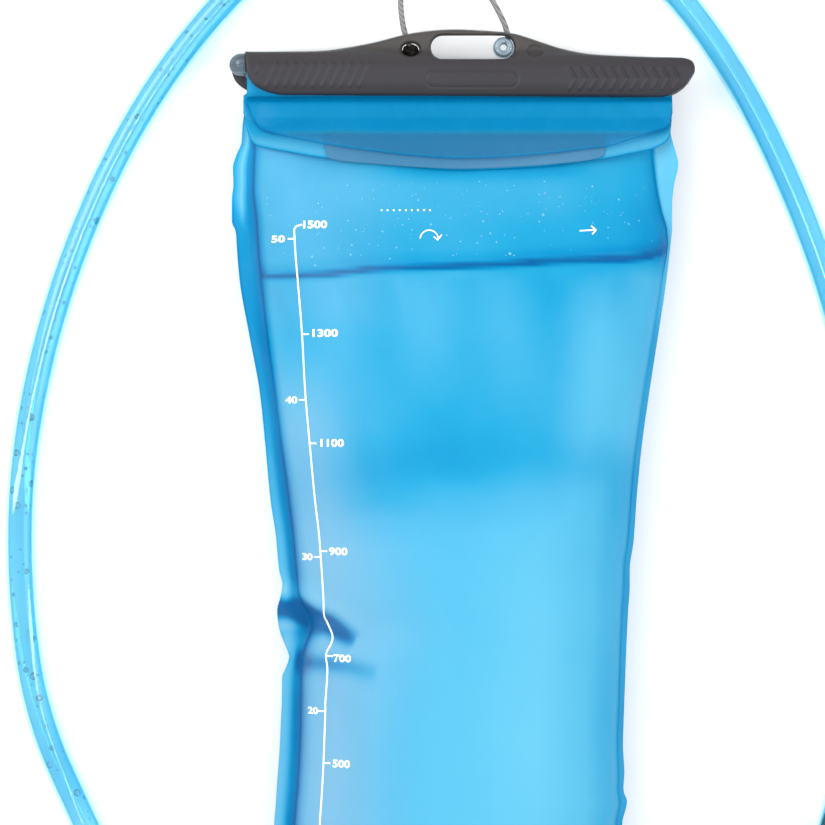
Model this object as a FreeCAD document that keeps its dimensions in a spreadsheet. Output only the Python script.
# Hydration bladder, lying on its back, front face up.
# +Z up, +X to the right across the bag, +Y towards the slide closure.
# Origin: bottom centre of the bag and closure (without hose and cord). Millimetres.
import FreeCAD, Part
import Sketcher
import math
import os

V = FreeCAD.Vector
doc = FreeCAD.newDocument("hydration_bladder")

# ---------------------------------------------------------------- dimensions
sheet = doc.addObject("Spreadsheet::Sheet", "Sizes")
SIZES = [
    ("seam_height", 17.0),      # height of the side seams and of the closure's centre
    ("film_gauge", 0.9),        # film incl. weld, both panels
    ("rod_radius", 2.3), ("rod_length", 138.4),
    ("cap_radius", 3.6), ("cap_length", 5.2),
    ("fold_outer", 2.9), ("fold_inner", 2.35), ("fold_length", 138.0), ("fold_leg", 8.25),
    ("leg_half", 1.2),
    ("channel_radius", 3.2), ("channel_end", 71.6), ("jaw_half", 1.5),
    ("closure_depth", 11.0), ("handle_depth", 4.5), ("counterbore", 3.8),
    ("slot_half", 3.62), ("slot_length", 26.3),
    ("hole_long", 2.7), ("hole_short", 2.05),
    ("lip_gauge", 0.6), ("stiffener_gauge", 0.8), ("flap_tilt", 23.0),
    ("port_x", -3.64), ("port_y", -133.1),
    ("flange_radius", 16.3), ("flange_bottom", 43.0), ("flange_top", 50.0),
    ("housing_radius", 11.0), ("housing_bottom", 30.0),
    ("head_radius", 10.5), ("head_top", 53.0),
    ("plug_bore", 6.0), ("bore_bottom", 42.0), ("seat_bore", 4.6), ("seat_bottom", 40.5),
    ("chamber_radius", 7.6), ("chamber_bottom", 31.5), ("guide_bore", 1.3),
    ("stem_radius", 5.6), ("stem_bottom", 43.5), ("plug_flange_radius", 9.0),
    ("plug_flange_top", 54.8), ("arm_height", 59.3), ("arm_radius", 4.0),
    ("arm_length", 14.0), ("arm_tilt", 10.0), ("arm_heading", 190.0),
    ("barb_radius", 3.05), ("barb_length", 11.5), ("plug_way", 2.4),
    ("ring_major", 4.98), ("ring_minor", 0.97),
    ("tube_outer", 4.75), ("tube_bore", 3.2),
    ("cord_radius", 0.9), ("knot_radius", 2.05), ("sleeve_radius", 3.45),
    ("core_radius", 5.0), ("core_length", 26.0), ("core_way", 2.6),
    ("collar_radius", 10.4), ("collar_bore", 5.1), ("mouth_radius", 8.8),
]
SZ = {}
for i, (name, value) in enumerate(SIZES):
    cell = "B%d" % (i + 1)
    sheet.set("A%d" % (i + 1), name)
    sheet.set(cell, str(value))
    sheet.setAlias(cell, name)
    SZ[name] = value
doc.recompute()


def bind(obj, **exprs):
    for prop, expr in exprs.items():
        obj.setExpression(prop.replace("__", "."), expr)
    return obj


def S(name):
    return "Sizes." + name


nodes = []


def keep(obj, label):
    obj.Label = label
    nodes.append(obj)
    return obj


def prim(kind, name, pos=(0, 0, 0), axis=(0, 0, 1), angle=0, rot=None, **exprs):
    o = doc.addObject("Part::" + kind, name)
    r = rot if rot is not None else FreeCAD.Rotation(V(*axis), angle)
    o.Placement = FreeCAD.Placement(V(*pos), r)
    bind(o, **exprs)
    return o


def fuse(name, parts):
    o = doc.addObject("Part::MultiFuse", name)
    o.Shapes = parts
    o.Refine = True
    return o


def cut(name, base, tool):
    o = doc.addObject("Part::Cut", name)
    o.Base = base
    o.Tool = tool
    return o


def feature(name, shape):
    o = doc.addObject("Part::Feature", name)
    o.Shape = shape
    return o


def plane(body, role):
    return [f for f in body.Origin.OriginFeatures if f.Role == role][0]


def sketch(body, name, role="XY_Plane", offset=0.0, rot=None):
    sk = body.newObject("Sketcher::SketchObject", name)
    sk.AttachmentSupport = [(plane(body, role), "")]
    sk.MapMode = "FlatFace"
    sk.AttachmentOffset = FreeCAD.Placement(V(0, 0, offset), rot or FreeCAD.Rotation())
    return sk


def line(sk, a, b):
    return sk.addGeometry(Part.LineSegment(V(a[0], a[1], 0), V(b[0], b[1], 0)), False)


def spline(sk, pts):
    c = Part.BSplineCurve()
    c.interpolate([V(p[0], p[1], 0) for p in pts])
    return sk.addGeometry(c, False)


def loop(sk, *chains):
    """Closed outline: each chain is a list of points, ("s", ...) a smooth one, ("l", ...) straight runs."""
    for kind, pts in chains:
        if kind == "s":
            spline(sk, pts)
        else:
            for a, b in zip(pts, pts[1:]):
                line(sk, a, b)


# ---------------------------------------------------------------- bag body
ZS = SZ["seam_height"]
G = SZ["film_gauge"]
# station y, seam left, seam right, film top, film underside
STATIONS = [
    (147.30, -64.5, 61.3, 18.0, 16.0),
    (137.60, -65.0, 61.0, 22.2, 12.6),
    (126.60, -65.6, 61.3, 27.0, 8.6),
    (115.50, -65.4, 61.6, 31.5, 5.2),
    (104.40, -64.6, 61.6, 35.6, 2.6),
    (93.35, -63.6, 60.3, 39.2, 1.0),
    (80.70, -62.4, 58.4, 43.0, 0.24),
    (64.85, -60.3, 56.2, 46.4, -0.1),
    (37.00, -56.9, 51.8, 49.8, -0.25),
    (9.10, -53.3, 49.6, 51.6, -0.25),
    (-23.80, -50.2, 47.2, 52.0, -0.25),
    (-42.80, -50.7, 46.6, 52.0, -0.25),
    (-74.50, -51.8, 46.7, 51.6, -0.25),
    (-106.20, -52.2, 47.0, 50.8, -0.1),
    (-128.00, -52.0, 47.0, 49.2, 0.1),
    (-147.35, -51.0, 46.2, 45.4, 0.5),
    (-156.85, -49.0, 43.9, 40.0, 2.6),
    (-163.80, -45.4, 40.0, 31.0, 7.4),
    (-167.60, -40.0, 34.4, 22.0, 13.0),
]
LEFT_EDGE = [(147.3, -69.8), (137.6, -69.2), (126.6, -71.6), (115.5, -72.4), (104.4, -71.2), (93.3, -70.3),
             (80.7, -68.4), (64.8, -65.9), (37.0, -62.0), (9.1, -58.8), (-23.8, -57.2), (-42.8, -57.0),
             (-74.5, -57.8), (-106.2, -59.0), (-128.0, -58.8), (-147.3, -58.1), (-156.8, -56.2), (-163.8, -52.7),
             (-167.6, -47.3), (-169.5, -41.6)]
RIGHT_EDGE = [(147.3, 66.7), (137.6, 66.3), (126.6, 67.9), (115.5, 66.9), (104.4, 66.6), (93.3, 65.1),
              (80.7, 63.3), (64.8, 61.1), (37.0, 57.0), (9.1, 54.6), (-23.8, 52.9), (-42.8, 52.4),
              (-74.5, 51.6), (-106.2, 51.8), (-128.0, 52.1), (-147.3, 51.5), (-156.8, 49.6), (-163.8, 45.8),
              (-167.6, 40.7), (-169.5, 36.0)]


def section(y, xl, xr, height, down, inner, skirt, slack=0.0):
    """One cross-section of a panel: a flattened arch from seam to seam, closed along the seam plane."""
    cx, hw = 0.5 * (xl + xr), 0.5 * (xr - xl)
    p, q = (4.0, 1.55) if down else (2.7, 1.75)
    if inner:
        hw -= G * 1.1 + slack
        height -= G + slack
    pts = []
    n = 17
    for k in range(n):
        t = math.pi * k / (n - 1)
        u = -math.cos(t)
        u = math.copysign(abs(u) ** 0.8, u)
        zz = height * max(0.0, 1 - abs(u) ** p) ** (1 / q)
        pts.append(V(cx + hw * u, y, ZS + (-zz if down else zz)))
    pts[0].z = pts[-1].z = ZS
    c = Part.BSplineCurve()
    c.interpolate(pts)
    edges = [c.toShape()]
    if skirt:
        dz = 1.0 if down else -1.0
        a, b = pts[-1], pts[0]
        a2, b2 = a + V(0, 0, dz), b + V(0, 0, dz)
        edges += [Part.makeLine(a, a2), Part.makeLine(a2, b2), Part.makeLine(b2, b)]
    else:
        edges.append(Part.makeLine(pts[-1], pts[0]))
    return Part.Wire(edges)


def half(down, inner, skirt, slack=0.0):
    wires = []
    rows = STATIONS[1:-1] if inner else STATIONS
    if slack:
        rows = [(rows[0][0] - slack,) + rows[0][1:]] + rows[1:-1] + [(rows[-1][0] + slack,) + rows[-1][1:]]
    for y, xl, xr, top, bottom in rows:
        h = (ZS - bottom) if down else (top - ZS)
        wires.append(section(y, xl, xr, h, down, inner, skirt, slack))
    return Part.makeLoft(wires, True, False)


def margin(down):
    """Flat weld margin all round the bag, one film thick."""
    pl = [V(x, y, 0) for y, x in LEFT_EDGE]
    pr = [V(x, y, 0) for y, x in reversed(RIGHT_EDGE)]
    cl, cr = Part.BSplineCurve(), Part.BSplineCurve()
    cl.interpolate(pl)
    cr.interpolate(pr)
    wire = Part.Wire([cl.toShape(), Part.makeLine(pl[-1], pr[0]), cr.toShape(), Part.makeLine(pr[-1], pl[0])])
    face = Part.Face(wire)
    slab = face.extrude(V(0, 0, G))
    slab.translate(V(0, 0, ZS - G if down else ZS))
    return slab


px, py = SZ["port_x"], SZ["port_y"]
front_solid = half(False, False, False).fuse(margin(False)).cut(half(False, True, True))
front_solid = front_solid.cut(Part.makeCylinder(SZ["flange_radius"] + 0.05, 40, V(px, py, 30)))
front_src = feature("FrontPanelShape", front_solid)
rear_solid = half(True, False, False).fuse(margin(True)).cut(half(True, True, True))
# the full bag presses its back flat where it lies
rear_solid = rear_solid.cut(Part.makeBox(300, 400, 5, V(-150, -200, -5)))
keep(front_src, "front_panel")
keep(feature("RearPanelShape", rear_solid), "rear_panel")

water = half(False, True, False, 0.08).fuse(half(True, True, False, 0.08)).removeSplitter()
water = water.cut(Part.makeCylinder(SZ["flange_radius"] + 0.05, 20, V(px, py, SZ["flange_bottom"] - 0.05)))
water = water.cut(Part.makeCylinder(SZ["housing_radius"] + 0.1, 30, V(px, py, SZ["housing_bottom"] - 2.6)))
keep(feature("WaterShape", water), "water_fill")

# ---------------------------------------------------------------- closure: seal rod and folded film
ROD_Y, CAP_Y = 156.2, 158.35
ALONG_X = FreeCAD.Rotation(V(0, 1, 0), 90)
rod = prim("Cylinder", "RodBar", (-68.3, ROD_Y, ZS), rot=ALONG_X, Radius=S("rod_radius"), Height=S("rod_length"))
cap = prim("Cylinder", "RodEnd", (-73.5, CAP_Y, ZS), rot=ALONG_X, Radius=S("cap_radius"), Height=S("cap_length"))
keep(fuse("SealRod", [rod, cap]), "seal_rod")

wrap_out = prim("Cylinder", "WrapOuter", (-67.9, ROD_Y, ZS), rot=ALONG_X, Radius=S("fold_outer"), Height=S("fold_length"))
legs = prim("Box", "WrapLegs", (-67.9, ROD_Y - 8.25, ZS - 1.2), Length=S("fold_length"), Width=S("fold_leg"), Height="2 * " + S("leg_half"))
wrap_in = prim("Cylinder", "WrapInner", (-68.9, ROD_Y, ZS), rot=ALONG_X, Radius=S("fold_inner"), Height=S("fold_length") + " + 2")
leg_gap = prim("Box", "LegGap", (-68.9, ROD_Y - 9.25, ZS - 0.2), Length=S("fold_length") + " + 2", Width=S("fold_leg") + " + 1", Height="0.4")
keep(cut("MouthFold", fuse("WrapSolid", [wrap_out, legs]), fuse("WrapVoid", [wrap_in, leg_gap])), "mouth_fold")

# ---------------------------------------------------------------- slide closure
slide = doc.addObject("PartDesign::Body", "SlideClosure")
sk = sketch(slide, "ChannelOutline", offset=ZS)
loop(sk,
     ("l", [(-73.6, 162.7), (71.1, 160.7)]),
     ("s", [(71.1, 160.7), (72.9, 159.2), (73.57, 156.5), (72.4, 153.8), (70.6, 151.0), (67.3, 148.8), (63.5, 147.8)]),
     ("l", [(63.5, 147.8), (-57.2, 148.2)]),
     ("s", [(-57.2, 148.2), (-63.2, 148.9), (-69.2, 151.3), (-72.7, 154.8), (-73.6, 156.7)]),
     ("l", [(-73.6, 156.7), (-73.6, 162.7)]))
pad = slide.newObject("PartDesign::Pad", "ChannelPad")
pad.Profile = sk
pad.Midplane = True
bind(pad, Length=S("closure_depth"))
doc.recompute()

sk2 = sketch(slide, "HandleOutline", offset=ZS)
loop(sk2,
     ("s", [(-45.0, 162.3), (-37.7, 163.6), (-28.0, 165.4), (-19.3, 167.6), (-13.5, 168.7), (-4.8, 169.5), (4.0, 169.4),
            (15.0, 168.5), (20.4, 167.1), (25.8, 165.3), (31.4, 163.6), (39.4, 161.9), (47.7, 161.1)]),
     ("l", [(47.7, 161.1), (47.7, 159.9), (-45.0, 159.9), (-45.0, 162.3)]))
pad2 = slide.newObject("PartDesign::Pad", "HandlePad")
pad2.Profile = sk2
pad2.Midplane = True
bind(pad2, Length=S("handle_depth"))
doc.recompute()

# finger slot and left cord hole, right through
sk3 = sketch(slide, "SlotOutline", offset=ZS)
sc, sh, sl = (3.48, 163.83), SZ["slot_half"], SZ["slot_length"]
xa, xb = sc[0] - sl / 2 + sh, sc[0] + sl / 2 - sh
line(sk3, (xa, sc[1] + sh), (xb, sc[1] + sh))
line(sk3, (xb, sc[1] - sh), (xa, sc[1] - sh))
sk3.addGeometry(Part.ArcOfCircle(Part.Circle(V(xb, sc[1], 0), V(0, 0, 1), sh), -math.pi / 2, math.pi / 2), False)
sk3.addGeometry(Part.ArcOfCircle(Part.Circle(V(xa, sc[1], 0), V(0, 0, 1), sh), math.pi / 2, 1.5 * math.pi), False)
sk3.addGeometry(Part.Ellipse(V(-16.12 + SZ["hole_long"], 163.1, 0), V(-16.12, 163.1 + SZ["hole_short"], 0), V(-16.12, 163.1, 0)), False)
poc = slide.newObject("PartDesign::Pocket", "SlotPocket")
poc.Profile = sk3
poc.Type = "ThroughAll"
poc.Midplane = True
doc.recompute()

# shallow blind dimple, the mirror of the cord hole
sk4 = sketch(slide, "DimpleOutline", offset=ZS + SZ["handle_depth"] / 2 + 4)
sk4.addGeometry(Part.Ellipse(V(23.18 + 2.7, 162.5, 0), V(23.18, 162.5 + 2.05, 0), V(23.18, 162.5, 0)), False)
poc2 = slide.newObject("PartDesign::Pocket", "DimplePocket")
poc2.Profile = sk4
bind(poc2, Length="4.45")
doc.recompute()

# front jaw cut back at the open left end
sk5 = sketch(slide, "EntryOutline", offset=ZS + 8)
loop(sk5,
     ("l", [(-75.0, 164.0), (-68.6, 164.0), (-68.6, 154.4)]),
     ("s", [(-68.6, 154.4), (-65.7, 151.6), (-61.9, 149.5), (-57.2, 148.3)]),
     ("l", [(-57.2, 148.3), (-57.2, 146.5), (-75.0, 146.5), (-75.0, 164.0)]))
poc3 = slide.newObject("PartDesign::Pocket", "EntryPocket")
poc3.Profile = sk5
bind(poc3, Length="9.5")
doc.recompute()

# channel for the rod with its jaws, open at the left and closed at the right
bore = prim("Cylinder", "ChannelBore", (-80, ROD_Y, ZS), rot=ALONG_X, Radius=S("channel_radius"), Height="80 + " + S("channel_end"))
jaw = prim("Box", "JawGap", (-80, 140, ZS - 1.5), Length="80 + " + S("channel_end"), Width="16", Height="2 * " + S("jaw_half"))
cbore = prim("Cylinder", "EntryBore", (-80, CAP_Y, ZS), rot=ALONG_X, Radius=S("counterbore"), Height="12.1")
slide_cut = cut("SlideChannel", slide, fuse("ChannelTool", [bore, jaw, cbore]))
keep(slide_cut, "slide_closure")

# ---------------------------------------------------------------- folded mouth flap
TILT = SZ["flap_tilt"]


def flap_body(label, outline, gauge, rise):
    b = doc.addObject("PartDesign::Body", label.title().replace("_", ""))
    k = sketch(b, label + "_outline")
    loop(k, *outline)
    p = b.newObject("PartDesign::Pad", label + "_pad")
    p.Profile = k
    bind(p, Length=gauge)
    tilt = FreeCAD.Rotation(V(1, 0, 0), -TILT)
    b.Placement = FreeCAD.Placement(V(0, 146.6, 18.95) + tilt.multVec(V(0, 0, rise)), tilt)
    doc.recompute()
    return keep(b, label)


flap_body("mouth_lip_back", [
    ("l", [(-68.0, -0.6), (-68.3, -6.0)]),
    ("s", [(-68.3, -6.0), (-66.0, -13.6), (-61.0, -16.2), (-44.0, -19.0), (-27.0, -21.5), (-10.0, -23.4), (0.0, -24.0),
           (10.0, -24.0), (27.0, -22.6), (44.0, -20.0), (58.0, -16.9), (64.0, -14.2), (66.2, -6.0)]),
    ("l", [(66.2, -6.0), (66.2, -0.6), (-68.0, -0.6)])], S("lip_gauge"), 0.0)
flap_body("mouth_stiffener", [
    ("l", [(-42.6, -0.6), (44.5, -0.6), (44.5, -17.0)]),
    ("s", [(44.5, -17.0), (27.0, -19.2), (10.0, -20.6), (0.0, -20.9), (-10.0, -20.4), (-27.0, -18.6), (-42.6, -16.2)]),
    ("l", [(-42.6, -16.2), (-42.6, -0.6)])], S("stiffener_gauge"), SZ["lip_gauge"] + 0.1)
flap_body("mouth_lip_front", [
    ("l", [(-67.2, -0.6), (-67.3, -4.5)]),
    ("s", [(-67.3, -4.5), (-64.0, -10.6), (-57.0, -13.2), (-43.0, -15.6), (-27.0, -18.4), (-12.0, -20.2), (0.0, -20.6),
           (12.0, -20.2), (27.0, -18.2), (44.0, -15.4), (57.0, -12.2), (64.0, -9.8), (66.0, -4.5)]),
    ("l", [(66.0, -4.5), (65.9, -0.6), (-67.2, -0.6)])], S("lip_gauge"), SZ["lip_gauge"] + SZ["stiffener_gauge"] + 0.2)

# ---------------------------------------------------------------- outlet port
UP = FreeCAD.Rotation()
flange = prim("Cylinder", "FlangeDisc", (px, py, SZ["flange_bottom"]), Radius=S("flange_radius"), Height=S("flange_top") + " - " + S("flange_bottom"))
flange_hole = prim("Cylinder", "FlangeHole", (px, py, SZ["flange_bottom"] - 1), Radius=S("housing_radius") + " + 0.05", Height="20")
keep(cut("PortFlange", flange, flange_hole), "port_flange")

house = doc.addObject("PartDesign::Body", "PortHousing")
hs = sketch(house, "HousingProfile", role="XZ_Plane")
hb, ht, fb = SZ["housing_bottom"], SZ["head_top"], SZ["flange_top"]
prof = [(SZ["guide_bore"], hb), (SZ["housing_radius"], hb), (SZ["housing_radius"], fb + 0.1), (SZ["head_radius"], fb + 0.3), (SZ["head_radius"], ht - 0.5),
        (SZ["head_radius"] - 0.5, ht), (SZ["plug_bore"] + 0.4, ht), (SZ["plug_bore"], ht - 0.4), (SZ["plug_bore"], SZ["bore_bottom"]),
        (SZ["seat_bore"], SZ["bore_bottom"]), (SZ["seat_bore"], SZ["seat_bottom"]), (SZ["chamber_radius"], SZ["seat_bottom"]),
        (SZ["chamber_radius"], SZ["chamber_bottom"]), (SZ["guide_bore"], SZ["chamber_bottom"]), (SZ["guide_bore"], hb)]
loop(hs, ("l", prof))
rev = house.newObject("PartDesign::Revolution", "HousingTurn")
rev.Profile = hs
rev.ReferenceAxis = (hs, ["V_Axis"])
rev.Angle = 360
doc.recompute()
fh = sketch(house, "FlowHole", offset=hb - 1)
fh.addGeometry(Part.Circle(V(4.4, 0, 0), V(0, 0, 1), 1.6), False)
fp = house.newObject("PartDesign::Pocket", "FlowPocket")
fp.Profile = fh
fp.Reversed = True
fp.Length = 2.9
doc.recompute()
pat = house.newObject("PartDesign::PolarPattern", "FlowPattern")
pat.Originals = [fp]
pat.Axis = (hs, ["V_Axis"])
pat.Angle = 360
pat.Occurrences = 6
house.Tip = pat
house.Placement = FreeCAD.Placement(V(px, py, 0), UP)
doc.recompute()
block = prim("Box", "ButtonBlock", (px + 8.5, py - 5.5, SZ["flange_top"] - 0.95), Length="8.5", Width="11", Height="3.95")
block_out = prim("Cylinder", "BlockRelief", (px, py, 40), Radius=S("flange_radius") + " + 0.05", Height="10.05")
pocket = prim("Box", "ButtonPocket", (px + 11.3, py - 4.0, SZ["flange_top"] + 0.25), Length="6", Width="8", Height="2.2")
head = fuse("HousingWithBlock", [house, cut("BlockSolid", block, block_out)])
keep(cut("PortHousingFinal", head, pocket), "port_housing")

button = prim("Box", "ButtonBar", (px + 14.3, py - 3.9, SZ["flange_top"] + 0.35), Length="5.2", Width="7.8", Height="2.0")
bf = doc.addObject("Part::Fillet", "ButtonRounded")
bf.Base = button
doc.recompute()
bf.Edges = [(i + 1, 0.5, 0.5) for i, e in enumerate(button.Shape.Edges)
            if abs(e.CenterOfMass.x - (px + 19.5)) < 0.01]
keep(bf, "release_button")


def coil(pitch, height, radius, wire_r, place):
    helix = Part.makeHelix(pitch, height, radius)
    ring = Part.Wire([Part.makeCircle(wire_r, V(radius, 0, 0), V(0, 1, 0))])
    s = Part.Wire(helix).makePipeShell([ring], True, True)
    s.Placement = place
    return s


sp = doc.addObject("Part::Feature", "ButtonSpringShape")
sp.Shape = coil(0.72, 2.16, 0.7, 0.16, FreeCAD.Placement())
sp.Placement = FreeCAD.Placement(V(px + 11.3 + 0.42, py, SZ["flange_top"] + 1.35), ALONG_X)
keep(sp, "button_spring")

# self-sealing poppet, held open by the plug
disc = prim("Cylinder", "PoppetDisc", (px, py, 36.5), Radius="6.0", Height="1.5")
lift = prim("Cylinder", "PoppetStem", (px, py, 37.5), Radius="1.5", Height="5.95")
pin = prim("Cylinder", "PoppetPin", (px, py, 28.6), Radius="1.2", Height="8.4")
keep(fuse("Poppet", [disc, lift, pin]), "check_poppet")
sp2 = doc.addObject("Part::Feature", "PoppetSpringShape")
sp2.Shape = coil(1.3, 3.9, 2.25, 0.45, FreeCAD.Placement())
sp2.Placement = FreeCAD.Placement(V(px, py, SZ["chamber_bottom"] + 0.52), UP)
keep(sp2, "poppet_spring")

# ---------------------------------------------------------------- elbow plug
plug = doc.addObject("PartDesign::Body", "PlugStem")
ps = sketch(plug, "StemProfile", role="XZ_Plane")
sr, sb, ft = SZ["stem_radius"], SZ["stem_bottom"], SZ["plug_flange_top"]
loop(ps, ("l", [(0, sb), (sr - 0.6, sb), (sr, sb + 0.6), (sr, 45.9), (4.0, 45.9), (4.0, 48.1), (sr, 48.1), (sr, 53.3),
                (SZ["plug_flange_radius"] - 0.4, 53.3), (SZ["plug_flange_radius"], 53.7), (SZ["plug_flange_radius"], ft - 0.5),
                (SZ["plug_flange_radius"] - 0.5, ft), (5.6, ft), (5.2, 60.2), (4.2, 62.6), (2.4, 63.9), (0, 64.2), (0, sb)]))
pr = plug.newObject("PartDesign::Revolution", "StemTurn")
pr.Profile = ps
pr.ReferenceAxis = (ps, ["V_Axis"])
pr.Angle = 360
plug.Placement = FreeCAD.Placement(V(px, py, 0), UP)
doc.recompute()
hd, tl = math.radians(SZ["arm_heading"]), math.radians(SZ["arm_tilt"])
ARM = V(math.cos(hd) * math.cos(tl), math.sin(hd) * math.cos(tl), -math.sin(tl))
ARM_ROT = FreeCAD.Rotation(V(0, 0, 1), ARM)
A0 = V(px, py, SZ["arm_height"])
arm = prim("Cylinder", "ElbowArm", tuple(A0), rot=ARM_ROT, Radius=S("arm_radius"), Height=S("arm_length") + " - 0.1")
barb = prim("Cylinder", "ElbowBarb", tuple(A0), rot=ARM_ROT, Radius=S("barb_radius"), Height=S("arm_length") + " + " + S("barb_length"))
plug_solid = fuse("PlugSolid", [plug, arm, barb])
way1 = prim("Cylinder", "PlugWayDown", (px, py, SZ["stem_bottom"] - 1), Radius=S("plug_way"), Height=S("arm_height") + " - " + S("stem_bottom") + " + 1")
way2 = prim("Cylinder", "PlugWayOut", tuple(A0), rot=ARM_ROT, Radius="2.2", Height="40")
# cross bar across the stem's mouth, which holds the poppet open
bar = prim("Box", "PoppetBar", (px - 3.2, py - 0.9, SZ["stem_bottom"]), Length="6.4", Width="1.8", Height="1.5")
keep(fuse("ElbowPlug", [cut("PlugHollow", plug_solid, fuse("PlugWays", [way1, way2])), bar]), "plug_elbow")
keep(prim("Torus", "PlugRing", (px, py, 47.0), Radius1=S("ring_major"), Radius2=S("ring_minor")), "plug_oring")

# ---------------------------------------------------------------- drink tube
TUBE = [(-17.43, -135.53, 56.87), (-38.6, -139.4, 53.1), (-72.3, -138.3, 36.0), (-102.0, -117.5, 17.5),
        (-119.5, -83.8, 5.0), (-135.8, -47.9, 4.75), (-141.0, -7.7, 4.75), (-140.4, 31.4, 4.75),
        (-133.1, 70.6, 4.75), (-120.6, 108.1, 4.75), (-103.2, 143.7, 4.75), (-79.9, 176.1, 4.75),
        (-50.8, 202.8, 4.75), (-12.0, 214.9, 4.75), (27.7, 210.6, 4.75), (62.5, 190.5, 4.75),
        (86.6, 158.7, 4.75), (104.4, 123.3, 4.75), (118.4, 86.2, 4.75), (127.3, 47.6, 4.75),
        (131.3, 8.3, 4.75), (129.2, -31.8, 4.9), (121.7, -69.8, 11.0), (115.9, -88.8, 11.0)]
CORD = [(-16.12, 163.97, 13.4), (-17.79, 167.28, 13.3), (-19.16, 174.54, 13.1), (-19.39, 181.85, 12.6),
        (-19.12, 189.31, 12.0), (-14.5, 195.32, 11.6), (-7.17, 197.43, 11.5), (-0.04, 194.82, 11.8),
        (4.13, 188.63, 12.2), (7.93, 182.35, 12.6), (11.58, 176.0, 13.0), (14.79, 169.26, 13.3), (14.73, 166.05, 13.4)]


def route(points):
    """Straight runs joined by tangent arcs, each as large as its two runs allow. Returns the edges and the radii."""
    P = [V(*p) for p in points]
    edges, radii = [], []
    last = P[0]
    for i in range(1, len(P) - 1):
        u, v = (P[i] - P[i - 1]), (P[i + 1] - P[i])
        lu, lv = u.Length, v.Length
        u.normalize()
        v.normalize()
        turn = u.getAngle(v)
        t = 0.45 * min(lu, lv)
        r = t / math.tan(turn / 2)
        a, b = P[i] - u * t, P[i] + v * t
        bis = (v - u)
        bis.normalize()
        m = P[i] + bis * (r / math.cos(turn / 2) - r)
        edges.append(Part.makeLine(last, a))
        edges.append(Part.Arc(a, m, b).toShape())
        radii.append(r)
        last = b
    edges.append(Part.makeLine(last, P[-1]))
    return edges, radii


def pipe(edges, radius):
    w = Part.Wire(edges)
    start = edges[0].Vertexes[0].Point
    d = edges[0].Vertexes[-1].Point - start
    prof = Part.Wire([Part.makeCircle(radius, start, d)])
    return w.makePipeShell([prof], True, False)


edges, radii = route(TUBE)
print("drink tube radii:", " ".join("%.1f" % r for r in radii))
split = 6           # the run after the third bend: half of it belongs to each length
run = edges[split]
v0, v1 = run.Vertexes[0].Point, run.Vertexes[-1].Point
mid = (v0 + v1) * 0.5
n = v1 - v0
n.normalize()
lead_edges = edges[:split] + [Part.makeLine(v0, mid - n * 0.15)]
main_edges = [Part.makeLine(mid + n * 0.15, v1)] + edges[split + 1:]
for label, es in (("tube_lead", lead_edges), ("drink_tube", main_edges)):
    length = sum(e.Length for e in es)
    outer, inner = pipe(es, SZ["tube_outer"]), pipe(es, SZ["tube_bore"])
    hose = outer.cut(inner)
    want = math.pi * (SZ["tube_outer"] ** 2 - SZ["tube_bore"] ** 2) * length
    print("%s: length %.1f, volume %.1f, section x length %.1f" % (label, length, hose.Volume, want))
    if abs(hose.Volume - want) > 0.01 * want:
        raise RuntimeError(label + ": volume does not match its length")
    keep(feature("Hose" + label.title().replace("_", ""), hose), label)

# ---------------------------------------------------------------- hang cord on the closure
cedges, cradii = route(CORD)
print("hang cord radii:", " ".join("%.1f" % r for r in cradii))
clen = sum(e.Length for e in cedges)
cord = pipe(cedges, SZ["cord_radius"])
print("hang cord: length %.1f, volume %.1f, section x length %.1f" % (clen, cord.Volume, math.pi * SZ["cord_radius"] ** 2 * clen))
keep(feature("HangCordShape", cord), "hang_cord")
knot = doc.addObject("Part::Sphere", "KnotBall")
knot.Placement = FreeCAD.Placement(V(-16.12, 163.1, 13.55), UP)
bind(knot, Radius=S("knot_radius"))
keep(knot, "cord_knot")
sleeve = prim("Cylinder", "SleeveRound", (xb, sc[1], 12.2), Radius=S("sleeve_radius"), Height="6.8")
sleeve_cut = prim("Box", "SleeveFlat", (xb - 5.2, sc[1] - 5, 11), Length="4", Width="10", Height="10")
keep(cut("CordSleeve", sleeve, sleeve_cut), "cord_sleeve")

# ---------------------------------------------------------------- bite valve
T1, T0 = V(*TUBE[-1]), V(*TUBE[-2])
TD = T1 - T0
TD.normalize()
TROT = FreeCAD.Rotation(V(0, 0, 1), TD)


def on_axis(d):
    return tuple(T1 + TD * d)


barb2 = prim("Cylinder", "ValveBarb", on_axis(-10.5), rot=TROT, Radius=S("barb_radius"), Height="12")
stop = prim("Cylinder", "ValveStop", on_axis(0.1), rot=TROT, Radius="6.4", Height="2.0")
core = prim("Cylinder", "ValveCore", on_axis(1), rot=TROT, Radius=S("core_radius"), Height=S("core_length") + " - 1")
vring = prim("Torus", "CoreGroove", on_axis(14), rot=TROT, Radius1="4.55", Radius2="0.55")
vway = prim("Cylinder", "ValveWay", on_axis(-16), rot=TROT, Radius="2.2", Height="30")
vslot = prim("Box", "ValveWindow", (0, 0, 0), Length="10.4", Width="3.6", Height="7")
vslot.Placement = FreeCAD.Placement(T1 + TD * 20, TROT).multiply(FreeCAD.Placement(V(-5.2, -1.8, -2), UP))
vwin = prim("Cylinder", "ValveWindowWay", on_axis(13), rot=TROT, Radius=S("core_way"), Height="9")
keep(cut("ValveBody", fuse("ValveSolid", [barb2, stop, core]), fuse("ValveVoid", [vring, vway, vslot, vwin])), "valve_body")
keep(prim("Torus", "ValveRing", on_axis(14), rot=TROT, Radius1="4.55", Radius2="0.49"), "valve_oring")

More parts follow.
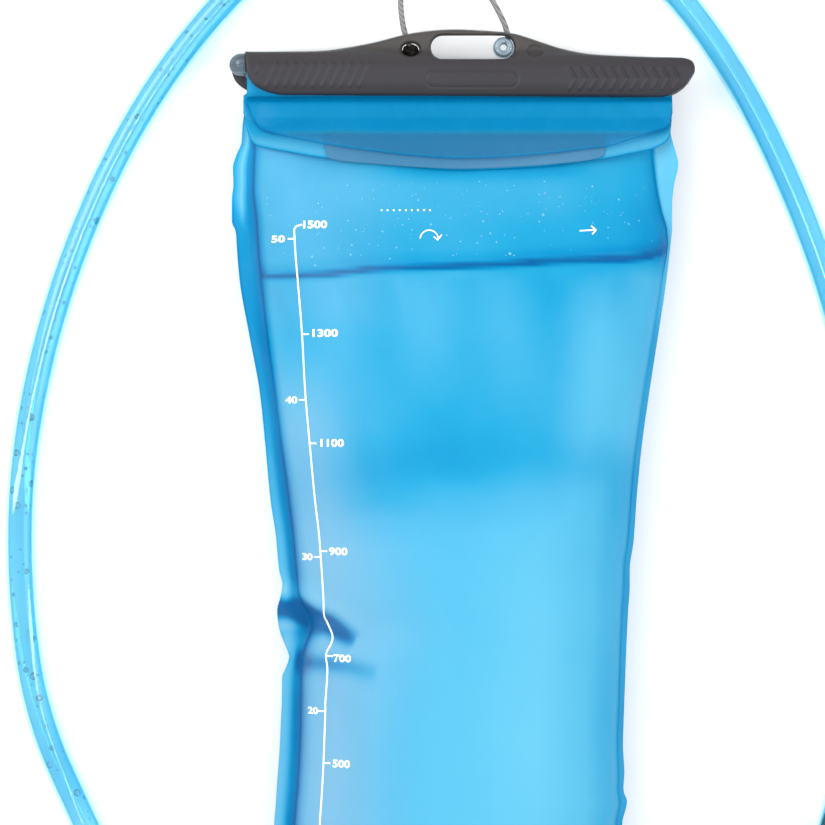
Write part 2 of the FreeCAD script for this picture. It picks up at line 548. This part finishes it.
col = prim("Cone", "CollarRear", on_axis(2.4), rot=TROT, Radius1="8.2", Radius2=S("collar_radius"), Height="4")
col2 = prim("Cylinder", "CollarBand", on_axis(6.4), rot=TROT, Radius=S("collar_radius"), Height="15.6")
col3 = prim("Cone", "CollarNose", on_axis(22.0), rot=TROT, Radius1=S("collar_radius"), Radius2="7.6", Height="4")
colh = prim("Cylinder", "CollarBore", on_axis(1), rot=TROT, Radius=S("collar_bore"), Height="40")
keep(cut("TwistCollar", fuse("CollarSolid", [col, col2, col3]), colh), "twist_collar")
bm = prim("Cone", "MouthBase", on_axis(26.1), rot=TROT, Radius1="7.2", Radius2=S("mouth_radius"), Height="5")
bm2 = prim("Cylinder", "MouthBarrel", on_axis(31.1), rot=TROT, Radius=S("mouth_radius"), Height="9")
bm3 = prim("Cone", "MouthTip", on_axis(40.1), rot=TROT, Radius1=S("mouth_radius"), Radius2="5.2", Height="6")
bmh = prim("Cylinder", "MouthWay", on_axis(25), rot=TROT, Radius="5.0", Height="17")
bms = prim("Box", "MouthSlit", (0, 0, 0), Length="7.5", Width="0.5", Height="10")
bms.Placement = FreeCAD.Placement(T1 + TD * 40, TROT).multiply(FreeCAD.Placement(V(-3.75, -0.25, 0), UP))
keep(cut("Mouthpiece", fuse("MouthSolid", [bm, bm2, bm3]), fuse("MouthVoid", [bmh, bms])), "bite_mouthpiece")

# ---------------------------------------------------------------- check and write
doc.recompute()
bad = []
for o in doc.Objects:
    if "Invalid" in o.State or "Error" in o.State:
        bad.append("%s (%s): %s" % (o.Name, o.Label, o.State))
for o in nodes:
    s = o.Shape
    if s.isNull() or not s.isValid() or s.Volume <= 0:
        bad.append("%s: null, invalid or empty" % o.Label)
if bad:
    raise RuntimeError("; ".join(bad))
os.makedirs("parts", exist_ok=True)
for o in nodes:
    print("%-16s volume %10.1f  solids %d  box %s" % (o.Label, o.Shape.Volume, len(o.Shape.Solids), o.Shape.BoundBox))
    o.Shape.exportStep("parts/%s.step" % o.Label)
